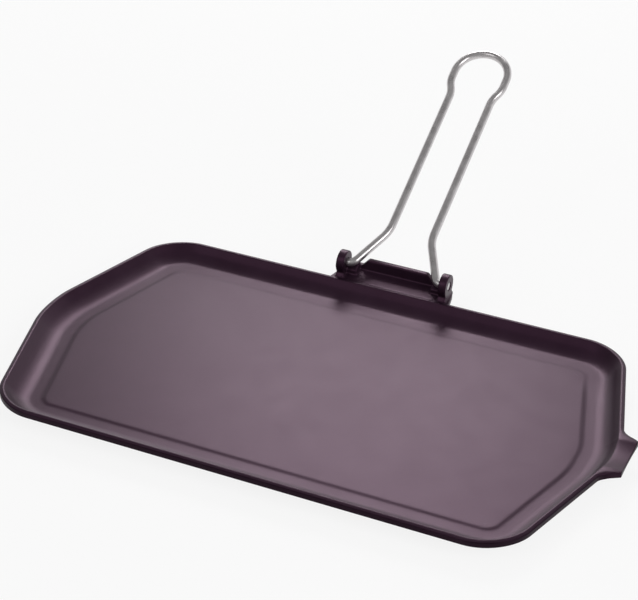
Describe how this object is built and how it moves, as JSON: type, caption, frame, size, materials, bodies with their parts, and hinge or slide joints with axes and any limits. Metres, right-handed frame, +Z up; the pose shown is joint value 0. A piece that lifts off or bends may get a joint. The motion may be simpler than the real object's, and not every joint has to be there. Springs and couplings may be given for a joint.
{
  "type": "camp griddle plate",
  "caption": "Long six-sided cast griddle with a low rim, grease gutter, pouring spout and a folding wire handle hinged in a bracket on one long side.",
  "frame": {"origin": "middle of the flat base, on the surface that the griddle stands on", "axes": "+Z up, +X towards the pouring spout, +Y towards the handle"},
  "size_m": [0.4242, 0.442, 0.1267],
  "materials": {
    "cast_plate": "cast aluminium under a dark plum-grey non-stick coating, satin",
    "handle_wire": "plated round steel wire, fairly bright"
  },
  "bodies": {
    "plate": {"griddle_plate": "cast_plate"},
    "handle": {"wire_handle": "handle_wire"}
  },
  "joints": [
    {"name": "handle_fold", "type": "hinge", "parent": "plate", "child": "handle", "pos_m": [0, 0.1334, 0.0236], "axis": [1, 0, 0], "range_deg": [0, 155.1]}
  ]
}
